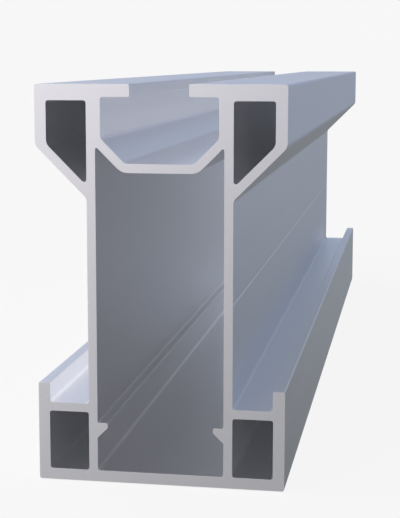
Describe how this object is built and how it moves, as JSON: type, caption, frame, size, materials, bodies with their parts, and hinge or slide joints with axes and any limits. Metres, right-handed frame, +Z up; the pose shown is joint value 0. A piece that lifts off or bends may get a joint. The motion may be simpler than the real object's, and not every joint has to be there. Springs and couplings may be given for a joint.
{
  "type": "solar mounting rail",
  "caption": "Length of hollow aluminium extrusion: slotted bolt channel between two hollow head flanges, upright webs, and a wide foot with hollow boxes and side lips.",
  "frame": {"origin": "on the level that the rail stands on, under the middle of its length and width", "axes": "+Y along the rail's length, +X across it, +Z up from the foot to the slotted head"},
  "size_m": [0.05, 0.258, 0.08],
  "materials": {
    "anodised_aluminium": "satin, clear anodised extrusion with sawn ends"
  },
  "bodies": {
    "root": {"rail": "anodised_aluminium"}
  },
  "joints": []
}
